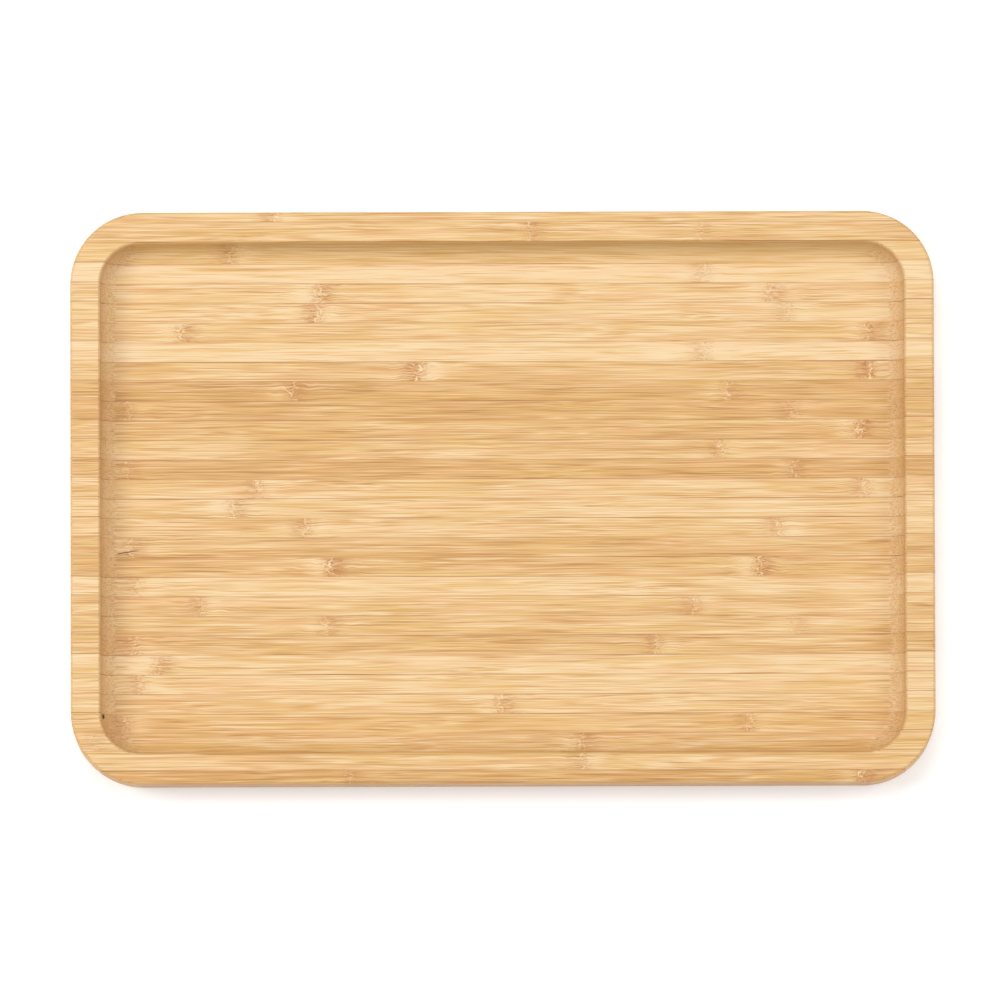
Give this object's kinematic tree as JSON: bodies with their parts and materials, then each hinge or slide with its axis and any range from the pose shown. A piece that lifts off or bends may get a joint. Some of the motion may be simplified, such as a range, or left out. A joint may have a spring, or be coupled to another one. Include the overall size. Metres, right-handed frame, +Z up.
{
  "type": "serving tray",
  "caption": "Rectangular bamboo serving tray with rounded corners, a flat rim and a shallow recess whose walls run into the floor in a cove.",
  "frame": {"origin": "centre of the resting face, on the surface that the tray stands on", "axes": "+X along the length and along the staves, +Y to the back long side, +Z up out of the recess"},
  "size_m": [0.3, 0.199, 0.02],
  "materials": {
    "bamboo_dark": "sanded bamboo, darker stave, satin food-safe oil",
    "bamboo_warm": "sanded bamboo, warm stave, satin food-safe oil",
    "bamboo_mid": "sanded bamboo, mid stave, satin food-safe oil",
    "bamboo_light": "sanded bamboo, light stave, satin food-safe oil",
    "glue": "cured glue, seen as a thin dark line"
  },
  "bodies": {
    "root": {"stave_01": "bamboo_mid", "stave_02": "bamboo_mid", "stave_03": "bamboo_dark", "stave_04": "bamboo_light", "stave_05": "bamboo_mid", "stave_06": "bamboo_mid", "stave_07": "bamboo_mid", "stave_08": "bamboo_light", "stave_09": "bamboo_warm", "stave_10": "bamboo_dark", "stave_11": "bamboo_dark", "stave_12": "bamboo_warm", "stave_13": "bamboo_warm", "stave_14": "bamboo_dark", "stave_15": "bamboo_mid", "stave_16": "bamboo_mid", "stave_17": "bamboo_mid", "stave_18": "bamboo_warm", "stave_19": "bamboo_warm", "stave_20": "bamboo_light", "stave_21": "bamboo_mid", "stave_22": "bamboo_warm", "stave_23": "bamboo_warm", "stave_24": "bamboo_mid", "stave_25": "bamboo_mid", "stave_26": "bamboo_mid", "stave_27": "bamboo_warm", "stave_28": "bamboo_dark", "stave_29": "bamboo_mid", "stave_30": "bamboo_dark", "glue_films": "glue"}
  },
  "joints": []
}
